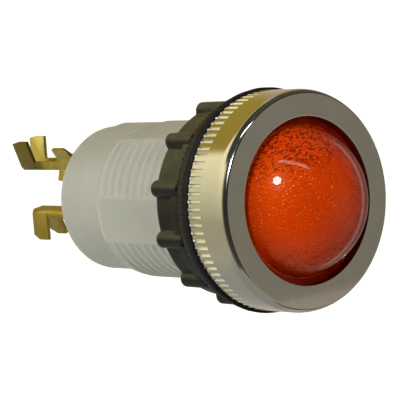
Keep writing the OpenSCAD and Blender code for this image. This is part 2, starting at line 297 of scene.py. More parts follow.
def mat_lens():
    """Clear outside over the pebbled inside, whose facets show through painted colour: painted shade in the hollows
    and marks, painted light and painted glints.
    """
    m, nt, b = new_mat("lens_orange")
    v = coords(nt)
    sep = nt.nodes.new("ShaderNodeSeparateXYZ")
    nt.links.new(v, sep.inputs[0])
    wob = nt.nodes.new("ShaderNodeTexNoise")
    wob.inputs["Scale"].default_value = 0.8
    wob.inputs["Detail"].default_value = 2.0
    nt.links.new(v, wob.inputs["Vector"])
    add = nt.nodes.new("ShaderNodeVectorMath")
    add.operation = "MULTIPLY_ADD"
    nt.links.new(wob.outputs["Color"], add.inputs[0])
    add.inputs[1].default_value = (0.7, 0.7, 0.7)
    nt.links.new(v, add.inputs[2])
    w = add.outputs[0]
    rows = noise_tex(nt, scaled(nt, w, (0.85, 1.0, 2.0)), 1.55, 2.0, 0.5)      # lying marks, above and below
    waves = noise_tex(nt, scaled(nt, w, (2.3, 1.6, 0.65), (3, 1, 7)), 0.75, 2.0, 0.5)  # upright waves, to the right
    fine = noise_tex(nt, w, 4.6, 2.0, 0.5)
    spark = noise_tex(nt, v, 4.0, 1.0, 0.4)
    z_abs = math_node(nt, "ABSOLUTE", math_node(nt, "ADD", sep.outputs["Z"], -0.4))
    shade_band = math_node(nt, "MULTIPLY", maprange(nt, z_abs, 4.2, 8.2, 0.0, 1.0, True), maprange(nt, sep.outputs["Z"], -2.0, 2.0, 0.6, 1.0, True))
    rightw = maprange(nt, sep.outputs["X"], 1.0, 6.0, 0.0, 1.0, True)
    n1 = noise_tex(nt, v, 0.12, 2)
    body = ramp(nt, n1, [(0.3, (0.53, 0.036, 0.0004)), (0.7, (0.585, 0.046, 0.0005))])
    # painted shade: the pebble hollows are darkened all over in a fine mottle
    body = mix_rgb(nt, maprange(nt, fine, 0.40, 0.62, 0.0, 0.45, True), body, (0.43, 0.023, 0.0002))
    # painted shade: dark upright waves on the right side
    body = mix_rgb(nt, math_node(nt, "MULTIPLY", maprange(nt, waves, 0.45, 0.57, 0.0, 0.75, True), rightw), body, (0.28, 0.011, 0.0002))
    # painted shade: dark lying marks above and below, with painted light in paler patches between them
    body = mix_rgb(nt, math_node(nt, "MULTIPLY", maprange(nt, rows, 0.49, 0.60, 0.0, 0.85, True), shade_band), body, (0.16, 0.006, 0.0002))
    body = mix_rgb(nt, math_node(nt, "MULTIPLY", maprange(nt, rows, 0.46, 0.38, 0.0, 0.6, True), shade_band), body, (0.62, 0.048, 0.0006))
    # painted glints: sparkles, most of them to the left, toward the key light
    lit = math_node(nt, "MULTIPLY", maprange(nt, sep.outputs["X"], -1.5, 3.5, 1.0, 0.06, True), maprange(nt, sep.outputs["Z"], -3.5, 0.0, 0.1, 1.0, True))
    painted_glints = math_node(nt, "MULTIPLY", maprange(nt, spark, 0.70, 0.74, 0.0, 0.9, True), lit)
    body = mix_rgb(nt, painted_glints, body, (1.0, 0.27, 0.03))
    nt.links.new(body, b.inputs["Base Color"])
    nt.links.new(maprange(nt, fine, 0.3, 0.8, 0.18, 0.32), b.inputs["Roughness"])
    b.inputs["Specular IOR Level"].default_value = 0.3
    b.inputs["Specular Tint"].default_value = (1.0, 0.30, 0.03, 1)
    # the painted glints also glow a little, though the lens is no lamp
    b.inputs["Emission Color"].default_value = (1.0, 0.30, 0.03, 1)
    nt.links.new(math_node(nt, "MULTIPLY", painted_glints, 0.16), b.inputs["Emission Strength"])
    nt.links.new(bump(nt, fine, 0.45, 0.10, bump(nt, rows, 0.6, 0.30)), b.inputs["Normal"])
    b.inputs["Transmission Weight"].default_value = 0.10
    b.inputs["IOR"].default_value = 1.5
    b.inputs["Coat Weight"].default_value = 1.0
    b.inputs["Coat Roughness"].default_value = 0.015
    b.inputs["Coat IOR"].default_value = 1.27
    return m


def mat_lens_rim():
    m, nt, b = new_mat("lens_rim_shaded")
    v = coords(nt)
    n1 = noise_tex(nt, v, 0.6, 3)
    # painted shade: the flange is a darker copy of the lens orange, standing for the shade it sits in under the bezel
    nt.links.new(ramp(nt, n1, [(0.3, (0.14, 0.0038, 0.0003)), (0.7, (0.24, 0.008, 0.0005))]), b.inputs["Base Color"])
    nt.links.new(maprange(nt, n1, 0.3, 0.7, 0.05, 0.10), b.inputs["Roughness"])
    b.inputs["Specular IOR Level"].default_value = 0.1
    b.inputs["Transmission Weight"].default_value = 0.2
    b.inputs["IOR"].default_value = 1.3
    return m


def mat_nylon():
    m, nt, b = new_mat("nylon_white")
    v = coords(nt)
    n1 = noise_tex(nt, v, 0.09, 4, 0.55)
    nt.links.new(ramp(nt, n1, [(0.3, (0.312, 0.317, 0.282)), (0.5, (0.338, 0.343, 0.303)), (0.75, (0.366, 0.375, 0.346))]), b.inputs["Base Color"])
    b.inputs["Subsurface Weight"].default_value = 0.85
    b.inputs["Subsurface Radius"].default_value = (1.0, 0.97, 0.85)
    b.inputs["Subsurface Scale"].default_value = 2.6 * MM
    n2 = noise_tex(nt, v, 1.1, 4, 0.6)
    nt.links.new(maprange(nt, n2, 0.3, 0.75, 0.42, 0.58), b.inputs["Roughness"])
    n3 = noise_tex(nt, v, 2.6, 3, 0.6)
    nt.links.new(bump(nt, n3, 0.2, 0.03), b.inputs["Normal"])
    b.inputs["IOR"].default_value = 1.5
    return m


def mat_rubber():
    m, nt, b = new_mat("rubber_black")
    v = coords(nt)
    n1 = noise_tex(nt, v, 0.8, 4)
    nt.links.new(ramp(nt, n1, [(0.3, (0.004, 0.004, 0.005)), (0.75, (0.009, 0.009, 0.011))]), b.inputs["Base Color"])
    n2 = noise_tex(nt, v, 2.2, 4, 0.65)
    nt.links.new(maprange(nt, n2, 0.3, 0.75, 0.55, 0.75), b.inputs["Roughness"])
    b.inputs["Specular IOR Level"].default_value = 0.2
    nt.links.new(bump(nt, n2, 0.35, 0.06), b.inputs["Normal"])
    return m


def mat_olive(name="plastic_olive", dark=(0.004, 0.004, 0.0028), light=(0.009, 0.009, 0.006), r0=0.34, r1=0.46, spec=0.21, painted_toplight=(0.066, 0.065, 0.038)):
    """Dark moulded plastic; the faces that look up are painted paler as painted light from above."""
    m, nt, b = new_mat(name)
    v = coords(nt)
    n1 = noise_tex(nt, v, 0.5, 4)
    base = ramp(nt, n1, [(0.3, dark), (0.75, light)])
    geo = nt.nodes.new("ShaderNodeNewGeometry")
    sep = nt.nodes.new("ShaderNodeSeparateXYZ")
    nt.links.new(geo.outputs["Normal"], sep.inputs[0])
    # painted light: faces that look up are mixed toward a paler olive
    toplight_mask = math_node(nt, "MULTIPLY", maprange(nt, sep.outputs["Z"], 0.1, 0.8, 0.0, 1.0, True), maprange(nt, n1, 0.25, 0.7, 0.45, 0.85))
    nt.links.new(mix_rgb(nt, toplight_mask, base, painted_toplight), b.inputs["Base Color"])
    n2 = noise_tex(nt, v, 2.0, 4, 0.6)
    nt.links.new(maprange(nt, n2, 0.3, 0.75, r0, r1), b.inputs["Roughness"])
    b.inputs["Specular IOR Level"].default_value = spec
    nt.links.new(bump(nt, noise_tex(nt, v, 5.0, 3), 0.3, 0.03), b.inputs["Normal"])
    return m


def mat_washer():
    """The same plastic, painted near black down in its grooves as painted shade."""
    m, nt, b = new_mat("washer_plastic")
    v = coords(nt)
    sep = nt.nodes.new("ShaderNodeSeparateXYZ")
    nt.links.new(v, sep.inputs[0])
    rad = math_node(nt, "SQRT", math_node(nt, "ADD", math_node(nt, "MULTIPLY", sep.outputs["X"], sep.outputs["X"]),
                                          math_node(nt, "MULTIPLY", sep.outputs["Z"], sep.outputs["Z"])))
    proud = maprange(nt, rad, 17.45, 17.75, 0.0, 1.0, True)
    n1 = noise_tex(nt, v, 0.7, 4)
    top = ramp(nt, n1, [(0.3, (0.010, 0.010, 0.008)), (0.75, (0.018, 0.018, 0.015))])
    # painted shade: below the proud rim the colour falls to near black
    nt.links.new(mix_rgb(nt, proud, (0.0015, 0.0015, 0.0014), top), b.inputs["Base Color"])
    nt.links.new(maprange(nt, proud, 0.0, 1.0, 0.16, 0.50), b.inputs["Roughness"])
    nt.links.new(maprange(nt, proud, 0.0, 1.0, 0.40, 0.25), b.inputs["Specular IOR Level"])
    nt.links.new(bump(nt, noise_tex(nt, v, 4.0, 3), 0.3, 0.04), b.inputs["Normal"])
    return m


def mat_brass(name="brass_strip", a=(0.46, 0.36, 0.075), c=(0.64, 0.52, 0.12), r0=0.24, r1=0.42):
    m, nt, b = new_mat(name)
    v = coords(nt)
    n1 = noise_tex(nt, v, 0.45, 5, 0.6, 0.3)
    col = ramp(nt, n1, [(0.3, a), (0.7, c)])
    if name == "brass_strip":
        # painted shade, strong on the near upper wing; painted light on the far upper wing; the lower strip a little
        # darker towards the bottom
        sep = nt.nodes.new("ShaderNodeSeparateXYZ")
        nt.links.new(v, sep.inputs[0])
        rear = maprange(nt, sep.outputs["Y"], 56.5, 58.0, 0, 1, True)
        upper = math_node(nt, "MULTIPLY", rear, maprange(nt, sep.outputs["Z"], 3.0, 4.5, 0, 1, True))
        near_wing_shade = math_node(nt, "MULTIPLY", upper, maprange(nt, sep.outputs["X"], -0.7, -1.2, 0, 0.85, True))
        far_wing_light = math_node(nt, "MULTIPLY", upper, maprange(nt, sep.outputs["X"], 0.5, 1.1, 0, 1, True))
        below = maprange(nt, sep.outputs["Z"], 0.5, -0.5, 0, 0.7, True)
        col = mix_rgb(nt, near_wing_shade, col, (0.20, 0.155, 0.04))
        col = mix_rgb(nt, far_wing_light, col, (0.86, 0.74, 0.24))
        col = mix_rgb(nt, below, col, (0.37, 0.275, 0.055))
    nt.links.new(col, b.inputs["Base Color"])
    n2 = noise_tex(nt, v, 1.6, 4, 0.6)
    nt.links.new(maprange(nt, n2, 0.3, 0.75, r0, r1), b.inputs["Roughness"])
    vs = coords(nt, (1, 0.12, 1))
    nt.links.new(bump(nt, noise_tex(nt, vs, 6.0, 3), 0.2, 0.02), b.inputs["Normal"])
    b.inputs["Metallic"].default_value = 1.0
    return m


def mat_glass():
    m, nt, b = new_mat("lamp_glass")
    v = coords(nt)
    n1 = noise_tex(nt, v, 0.3, 3)
    nt.links.new(ramp(nt, n1, [(0.3, (0.90, 0.90, 0.87)), (0.7, (0.97, 0.97, 0.95))]), b.inputs["Base Color"])
    nt.links.new(maprange(nt, n1, 0.3, 0.7, 0.01, 0.05), b.inputs["Roughness"])
    b.inputs["Transmission Weight"].default_value = 0.9
    b.inputs["IOR"].default_value = 1.5
    return m


def mat_simple(name, c1, c2, rough=(0.3, 0.5), metallic=0.0, bump_s=0.2, scale=1.0):
    m, nt, b = new_mat(name)
    v = coords(nt)
    n1 = noise_tex(nt, v, 0.6 * scale, 4, 0.6)
    nt.links.new(ramp(nt, n1, [(0.3, c1), (0.75, c2)]), b.inputs["Base Color"])
    n2 = noise_tex(nt, v, 2.2 * scale, 4, 0.6)
    nt.links.new(maprange(nt, n2, 0.3, 0.75, rough[0], rough[1]), b.inputs["Roughness"])
    nt.links.new(bump(nt, n2, bump_s, 0.03), b.inputs["Normal"])
    b.inputs["Metallic"].default_value = metallic
    return m


M_METAL = mat_metal()
M_LENS = mat_lens()
M_RIM_SHADED = mat_lens_rim()
M_NYLON = mat_nylon()
M_RUBBER = mat_rubber()
M_OLIVE = mat_olive()
M_WASHER = mat_washer()
M_BRASS = mat_brass()
M_SHELL = mat_brass("brass_shell", (0.52, 0.38, 0.13), (0.66, 0.52, 0.22), 0.2, 0.34)
M_BRONZE = mat_brass("bronze_strip", (0.46, 0.27, 0.13), (0.60, 0.38, 0.20), 0.25, 0.4)
M_GLASS = mat_glass()
M_BROWN = mat_simple("plastic_brown", (0.022, 0.011, 0.006), (0.050, 0.026, 0.014), (0.3, 0.5))
M_COAT = mat_simple("resistor_coat", (0.20, 0.27, 0.18), (0.30, 0.38, 0.28), (0.35, 0.55))
M_SLEEVE = mat_simple("sleeve_cream", (0.55, 0.50, 0.32), (0.78, 0.72, 0.52), (0.6, 0.8), 0.0, 0.5, 2.0)
M_TIN = mat_simple("tinned_wire", (0.55, 0.55, 0.53), (0.70, 0.70, 0.68), (0.2, 0.35), 1.0, 0.1)


# ---------------------------------------------------------------- mesh helpers
class Shape:
    """Collects points (mm) and faces, with a material index per face."""

    def __init__(self):
        self.v, self.f, self.m, self.count, self.mi = [], [], [], 0, 0

    def add(self, pts):
        pts = np.asarray(pts, float).reshape(-1, 3)
        i = np.arange(self.count, self.count + len(pts))
        self.v.append(pts)
        self.count += len(pts)
        return i

    def quads(self, a, b, closed=True):
        """Faces between two rows of indices."""
        a, b = np.asarray(a), np.asarray(b)
        if closed:
            a2, b2 = np.roll(a, -1), np.roll(b, -1)
        else:
            a, a2, b, b2 = a[:-1], a[1:], b[:-1], b[1:]
        for q in np.stack([a, a2, b2, b], 1).tolist():
            self.f.append(q)
            self.m.append(self.mi)

    def skin(self, rows, closed=True):
        for a, b in zip(rows[:-1], rows[1:]):
            self.quads(a, b, closed)

    def fan(self, ring, point, flip=False):
        c = int(self.add([point])[0])
        r = list(map(int, ring))
        for i in range(len(r)):
            t = [r[i], r[(i + 1) % len(r)], c]
            self.f.append(t[::-1] if flip else t)
            self.m.append(self.mi)

    def object(self, name, mats, smooth=35.0, fix=True):
        me = bpy.data.meshes.new(name)
        me.from_pydata((np.vstack(self.v) * MM).tolist(), [], self.f)
        for mt in mats:
            me.materials.append(mt)
        me.polygons.foreach_set("material_index", self.m)
        me.update()
        if fix:
            bm = bmesh.new()
            bm.from_mesh(me)
            bmesh.ops.recalc_face_normals(bm, faces=bm.faces)
            bm.to_mesh(me)
            bm.free()
        me.shade_smooth()
        me.set_sharp_from_angle(angle=math.radians(smooth))
        ob = bpy.data.objects.new(name, me)
        sc.collection.objects.link(ob)
        return ob


def ring(theta, r, y):
    """A ring round the Y axis. theta runs from +X toward +Z; r and y are numbers or arrays."""
    t = np.asarray(theta)
    r = np.broadcast_to(r, t.shape)
    y = np.broadcast_to(y, t.shape)
    return np.stack([r * np.cos(t), y, r * np.sin(t)], 1)


def even(n):
    return np.arange(n) * TAU / n


def lathe(name, profile, mats, n=192, smooth=35.0, closed=True):
    """Solid of revolution from a closed [r, y] outline."""
    s = Shape()
    th = even(n)
    rows = [s.add(ring(th, r, y)) for r, y in profile]
    if closed:
        rows.append(rows[0])
    s.skin(rows)
    return s.object(name, mats, smooth)


def place(ob, body, nodes, slot):
    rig.ride(ob, body)
    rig.replaces(ob, *nodes)
    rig.slot(ob, slot)
    return ob


def arc(cx, cy, r, a0, a1, n):
    """Points [x, y] along an arc, degrees."""
    return [(cx + r * math.cos(math.radians(a0 + (a1 - a0) * i / n)),
             cy + r * math.sin(math.radians(a0 + (a1 - a0) * i / n))) for i in range(n + 1)]


# ---------------------------------------------------------------- bezel
FACE_Y, REAR_Y, BR = -9.94, -1.1, 18.0


def build_bezel():
    pitch = TAU / 90
    half = 0.30
    cuts = [half, half - 0.02, 0.17, 0.02]
    cols = []
    for i in range(90):
        c = i * pitch
        cols += [c + k / BR for k in [-q for q in cuts] + [0.0] + cuts[::-1]]
        cols.append(c + pitch / 2)
    th = np.array(cols)
    off = (th + pitch / 2) % pitch - pitch / 2
    s_mm = off * BR

    def flute(y):
        """Depth at y of the right-angled grooves, which run out steeply at the front."""
        return np.minimum(np.clip(half - np.abs(s_mm), 0, half), max(0.0, (y + 4.2) * 1.7))

    s = Shape()
    rows = []

    def add(r, y, fl=False):
        rr = np.full(th.shape, r, float)
        if fl:
            rr = rr - flute(y)
        rows.append(s.add(ring(th, rr, y)))

    hole = 13.55
    for r, y in arc(hole + 0.18, FACE_Y + 0.18, 0.18, 180, 270, 3):
        add(r, y)
    add(hole + 0.24, FACE_Y)
    add(16.8, FACE_Y)
    add(17.17, FACE_Y)
    # front edge: a quick bend at the face, then an easy crown into the side
    r, y, last = 17.2, FACE_Y, 0.0
    add(r, y)
    for rad, stops in ((0.30, (10, 19, 28, 38)), (0.75, (43, 48, 53, 58)), (2.9, (62, 66, 70, 75, 80, 85, 90))):
        for a in stops:
            c0, c1 = math.radians(last), math.radians(a)
            r += rad * (math.sin(c1) - math.sin(c0))
            y += rad * (math.cos(c0) - math.cos(c1))
            add(min(r, BR), y)
            last = a
    for y in (-8.0, -7.0, -5.6, -4.5, -4.24, -4.2, -4.16, -4.08, -4.03, -3.98, -3.4, -2.6, -1.9, -1.3):
        add(BR, y, True)
    for r, y in arc(BR - 0.1, REAR_Y - 0.1, 0.1, 0, 90, 2):
        add(r, y, r > BR - 0.06)
    add(BR - 0.34, REAR_Y)
    # rear face and threaded bore
    th_in = 16.58
    add(th_in + 0.45, REAR_Y)
    # internal thread: root further out than the crest
    y = REAR_Y
    ys = np.arange(-1.25, -6.1, -0.1875)
    for y in ys:
        u = (y / 1.5 + th / TAU) % 1.0
        prof = np.clip(1.6 * np.abs(u - 0.5) * 2 - 0.3, 0, 1)
        fade = min(1.0, (y + 6.1) / 0.6, (-1.1 - y) / 0.3)
        rows.append(s.add(ring(th, th_in + 0.36 * (1 - (1 - prof)) * max(0.0, fade), y)))
    add(th_in, -6.1)
    add(16.1, -6.1)
    add(16.1, -8.3)
    add(hole, -8.3)
    rows.append(rows[0])
    s.skin(rows)
    ob = s.object("bezel_ring", [M_METAL], 28)
    return place(ob, "bezel_ring", ["bezel"], "plated_metal")


# ---------------------------------------------------------------- lens
def disc_grid(n):
    """Even grid on a unit disc, and the order of its boundary points."""
    u = np.linspace(-1, 1, n + 1)
    a, b = np.meshgrid(u, u, indexing="ij")
    r = np.where(np.abs(a) > np.abs(b), a, b)
    with np.errstate(divide="ignore", invalid="ignore"):
        phi = np.where(np.abs(a) > np.abs(b), (math.pi / 4) * (b / a), math.pi / 2 - (math.pi / 4) * (a / b))
    phi = np.where((a == 0) & (b == 0), 0, phi)
    x, y = r * np.cos(phi), r * np.sin(phi)
    idx = np.arange((n + 1) ** 2).reshape(n + 1, n + 1)
    edge = np.concatenate([idx[:-1, 0], idx[-1, :-1], idx[:0:-1, -1], idx[0, :0:-1]])
    return x.ravel(), y.ravel(), idx, edge


def pebble(p, k=1.0):
    """Height of the hammered texture at a point, -1 to 1."""
    q = Vector((p[0] * 1.5, p[1] * 1.5, p[2] * 1.5)) * k
    a = noise.noise(q)
    b = noise.noise(q * 2.1 + Vector((7.3, 1.7, 3.1)))
    return 1.15 * a + 0.5 * b


def build_lens():
    n = 230
    RO, RI, CY = 12.75, 11.25, -5.3
    REAR, SEAT, FR = -6.9, -8.3, 15.9
    # angle, from the axis, where the inner sphere meets the rear plane of the flange
    s = Shape()
    x, z, idx, edge = disc_grid(n)
    rr = np.hypot(x, z)
    phi = np.arctan2(z, x)
    a_in = math.acos((CY - REAR) / RI)
    al = rr * a_in
    base = np.stack([RI * np.sin(al) * np.cos(phi), CY - RI * np.cos(al), RI * np.sin(al) * np.sin(phi)], 1)
    fade = np.clip((1.0 - rr) / 0.05, 0, 1)
    h = np.array([pebble(p) for p in base.tolist()]) * fade
    nrm = (base - np.array([0, CY, 0])) / RI
    inner = base + nrm * (0.10 * h)[:, None]
    gi = s.add(inner)
    g = gi.reshape(n + 1, n + 1)
    for q in np.stack([g[:-1, :-1].ravel(), g[1:, :-1].ravel(), g[1:, 1:].ravel(), g[:-1, 1:].ravel()], 1).tolist():
        s.f.append(q)
        s.m.append(0)
    rim = gi[edge]
    th = phi[edge]
    rows = [rim]
    s.mi = 1

    def add(r, y):
        rows.append(s.add(ring(th, r, y)))

    r_in = RI * math.sin(a_in)
    add(r_in + 0.1, REAR)
    add(FR - 0.15, REAR)
    for r, y in arc(FR - 0.15, REAR - 0.15, 0.15, 90, 0, 2)[1:]:
        add(r, y)
    for r, y in arc(FR - 0.15, SEAT + 0.15, 0.15, 0, -90, 2):
        add(r, y)
    # flange front face in to a small fillet at the dome
    a_out = math.acos((CY - SEAT) / RO)
    r_out = RO * math.sin(a_out)
    add(13.6, SEAT)
    add(r_out + 0.35, SEAT)
    add(r_out + 0.12, SEAT - 0.06)
    a1 = math.acos((CY - SEAT + 0.12) / RO)
    s.skin(rows)
    rows = rows[-1:]
    s.mi = 0
    m = 24
    for i in range(m):
        a = a1 * (1 - i / m)
        add(RO * math.sin(a), CY - RO * math.cos(a) + 0.006)
    s.skin(rows)
    s.fan(rows[-1], (0, CY - RO + 0.006, 0))
    ob = s.object("lens_dome", [M_LENS, M_RIM_SHADED], 32)
    return place(ob, "lens_set", ["lens"], "lens_orange")


# ---------------------------------------------------------------- housing
def thread_height(theta, y, pitch, start=0.0, crest=0.22, root=0.22):
    """0 at the root and 1 at the crest of a right-hand thread on the outside, with rounded corners."""
    u = (y / pitch - theta / TAU * -1.0 + start) % 1.0
    d = np.abs(u - 0.5) * 2  # 1 at u = 0, the crest
    h = np.clip((d - root) / (1 - crest - root), 0, 1)
    return h * h * (3 - 2 * h)


def build_housing():
    flat_a = math.acos(12.95 / 13.5)
    top_a = math.acos(12.2 / 13.5)
    pad0, pad1 = math.atan2(12.2, 4.9), math.atan2(12.2, -2.4)
    pad_s = math.acos(4.9 / 12.45)  # where the pad's side meets the round rear part
    extra = []
    for c, h in ((math.pi, flat_a), (math.pi / 2, top_a)):
        for sgn in (-1, 1):
            extra += [c + sgn * h, c + sgn * (h + 0.012), c + sgn * (h - 0.02)]
    extra += [pad0, pad1, pad_s, pad0 - 0.004, pad1 + 0.01]
    th = np.sort(np.concatenate([even(360), extra]))
    th = th[np.concatenate([[True], np.diff(th) > 1e-4])]
    n = len(th)
    s = Shape()

    def wrap(a):
        return (a + math.pi) % TAU - math.pi

    d_side, d_top = wrap(th - math.pi), wrap(th - math.pi / 2)
    in_side, in_top = np.abs(d_side) < flat_a, np.abs(d_top) < top_a
    # how far outside the flats, to let the grooves run out
    out = np.minimum(np.abs(d_side) - flat_a, np.abs(d_top) - top_a)
    runout = np.clip(out / 0.10, 0, 1)
    runout = runout * runout * (3 - 2 * runout)
    side_r = np.where(in_side, 12.95 / np.cos(d_side), 1e9)
    top_r = np.where(in_top, 12.2 / np.cos(d_top), 1e9)
    flat_r = np.minimum(side_r, top_r)

    def barrel(y, crest):
        depth = 0.26
        h = thread_height(th, y, 2.0)
        end = np.clip((y - 2.6) / 1.6, 0, 1)
        r = crest - depth * (1 - h) * runout * end
        k = np.clip((y - 3.6) / 0.4, 0, 1)
        return np.minimum(r, flat_r) * k + r * (1 - k)

    def rear(y, inset=0.0):
        r = np.full(n, 12.45 - inset)
        pad_top = (12.2 - inset) / np.maximum(np.sin(th), 1e-6)
        pad = np.where((th >= pad0) & (th <= pad1), pad_top, 0)
        side = np.where((th > pad_s) & (th < pad0), (4.9 - inset) / np.maximum(np.cos(th), 1e-6), 0)
        return np.maximum(r, np.maximum(pad, side))

    rows = []

    def add(r, y):
        rows.append(s.add(ring(th, r, y)))

    # head, with its thread for the bezel
    add(11.2, -5.95)
    add(11.35, -6.1)
    add(15.9, -6.1)
    for y in np.arange(-5.95, -1.35, 0.1875):
        h = thread_height(th, y, 1.5)
        f = np.clip(min((y + 6.1) / 0.5, 1.0), 0, 1)
        e = np.clip((-1.5 - y) / 0.6, 0, 1)
        add(16.5 - 0.42 * (1 - h) * e - (1 - f) * 0.5, y)
    add(16.5, -1.25)
    add(16.35, -1.1)
    add(13.6, -1.1)
    add(13.5, -1.0)
    # barrel
    add(13.5, 0.0)
    add(13.5, 1.5)
    ys = list(np.arange(2.4, 28.05, 2.0 / 12))
    for y in ys:
        add(barrel(y, 13.5), y)
    add(barrel(28.15, 13.47), 28.15)
    add(barrel(28.38, 13.34), 28.38)
    add(np.maximum(barrel(28.55, 13.12), rear(28.55)), 28.55)
    add(np.maximum(np.minimum(12.9, flat_r), rear(28.6)), 28.6)
    # plain rear part
    add(rear(28.6), 28.62)
    for y in (28.75, 31.0, 35.0, 38.6):
        add(rear(y), y)
    for r, y in arc(0, 0, 0.55, 0, 80, 5):
        add(rear(39, 0.55 - r), 39.05 + y)
    add(rear(39.6, 0.62), 39.6)
    outer = rows[-1]
    s.skin(rows)
    # rear wall with its slots: outer and inner faces and the slot walls
    inner_ring = s.add(ring(th, 10.5, 37.6))
    slots = [(-1.55, 1.55, 5.5 - 0.5, 5.5 + 0.5), (-1.55, 1.55, -2.55 - 0.5, -2.55 + 0.5),
             (-2.7 - 0.5, -2.7 + 0.5, 7.5 - 1.35, 7.5 + 1.35)]
    o_loops, i_loops = [], []
    for x0, x1, z0, z1 in slots:
        cr = 0.12
        pts = []
        for cx, cz, a0 in ((x1 - cr, z1 - cr, 0), (x0 + cr, z1 - cr, 90), (x0 + cr, z0 + cr, 180), (x1 - cr, z0 + cr, 270)):
            pts += arc(cx, cz, cr, a0, a0 + 90, 3)
        e = [(px + 0.1 * np.sign(px - (x0 + x1) / 2), pz + 0.1 * np.sign(pz - (z0 + z1) / 2)) for px, pz in pts]
        lo = s.add([(px, 39.6, pz) for px, pz in e])
        li = s.add([(px, 39.45, pz) for px, pz in pts])
        lb = s.add([(px, 37.6, pz) for px, pz in pts])
        s.quads(lo, li)
        s.quads(li, lb)
        o_loops.append(lo)
        i_loops.append(lb)
    allv = np.vstack(s.v)

    def fill(loops):
        polys = [[Vector((allv[i][0], allv[i][2], 0)) for i in lp] for lp in loops]
        flat = [int(i) for lp in loops for i in lp]
        for t in geometry.tessellate_polygon(polys):
            s.f.append([flat[k] for k in t])
            s.m.append(0)

    fill([outer] + o_loops)
    fill([inner_ring] + i_loops)
    # inside: narrow bore, step, wide bore and back to the mouth
    rin = [inner_ring]
    for r, y in ((10.5, 37.3), (10.5, 30.0), (10.5, 24.05), (10.55, 24.0), (11.2, 24.0), (11.2, 18.0), (11.2, 8.0), (11.2, 0.0)):
        rin.append(s.add(ring(th, r, y)))
    rin.append(rows[0])
    s.skin(rin)
    ob = s.object("body_moulding", [M_NYLON], 33)
    return place(ob, "barrel_body", ["housing"], "nylon_white")


# ---------------------------------------------------------------- gaskets, washer, nut
def build_gasket():
    n = 300
    th = even(n)
    prof = [(13.55, -1.02)] + [(13.63, -1.1), (17.9, -1.1)]
    prof += arc(18.45 - 0.32, -1.1 + 0.32, 0.32, -90, 0, 6)
    prof += arc(18.45 - 0.32, -0.32, 0.32, 0, 90, 6)
    prof += [(17.9, 0.0), (13.63, 0.0), (13.55, -0.08)]
    s = Shape()
    rows = []
    for r, y in prof:
        w = 0.035 * np.sin(5 * th + 0.6) + 0.02 * np.sin(13 * th) + 0.012 * np.sin(29 * th + 1)
        k = np.clip((r - 17) / 1.2, 0, 1)
        rows.append(s.add(ring(th, r - k * (0.03 + np.abs(w)), y)))
    rows.append(rows[0])
    s.skin(rows)
    ob = s.object("front_gasket_ring", [M_RUBBER], 40)
    return place(ob, "barrel_body", ["front_gasket"], "rubber_black")


def build_washer():
    n = 120
    cols = []
    for i in range(n):
        cols += [(i + k) * TAU / n for k in (-0.30, -0.14, 0.0, 0.14, 0.30, 0.5)]
    th = np.array(cols)
    ph = (th * n / TAU + 0.5) % 1.0 - 0.5
    tooth = np.clip((0.34 - np.abs(ph)) / 0.20, 0, 1)
    tooth = tooth * tooth * (3 - 2 * tooth)
    s = Shape()
    rows = []

    def add(r, y, k=0.0):
        rows.append(s.add(ring(th, r + k * tooth, y)))

    wave = 0.11 * np.cos(th * n)
    add(13.8, 0.0)
    add(17.0, 0.0)
    add(17.12, 0.04, 0.2)
    add(17.2, 0.12, 0.25)
    add(17.2, 0.30, 0.25)
    rows.append(s.add(ring(th, 17.2, 0.46 + wave)))
    rows.append(s.add(ring(th, 17.66, 0.52 + wave)))
    rows.append(s.add(ring(th, 17.82, 0.66 + 0.8 * wave)))
    add(17.86, 0.86)
    add(17.86, 1.36)
    add(17.80, 1.48)
    add(17.10, 1.56)
    add(17.05, 1.74)
    add(17.10, 1.78, 0.1)
    add(17.26, 1.86, 0.28)
    add(17.30, 1.94, 0.30)
    add(17.30, 2.26, 0.30)
    add(17.24, 2.36, 0.26)
    add(17.05, 2.44, 0.1)
    add(16.95, 2.5)
    add(13.8, 2.5)
    rows.append(rows[0])
    s.skin(rows)
    ob = s.object("toothed_ring", [M_WASHER], 38)
    return place(ob, "clamp_washer", ["toothed_washer"], "plastic_olive")


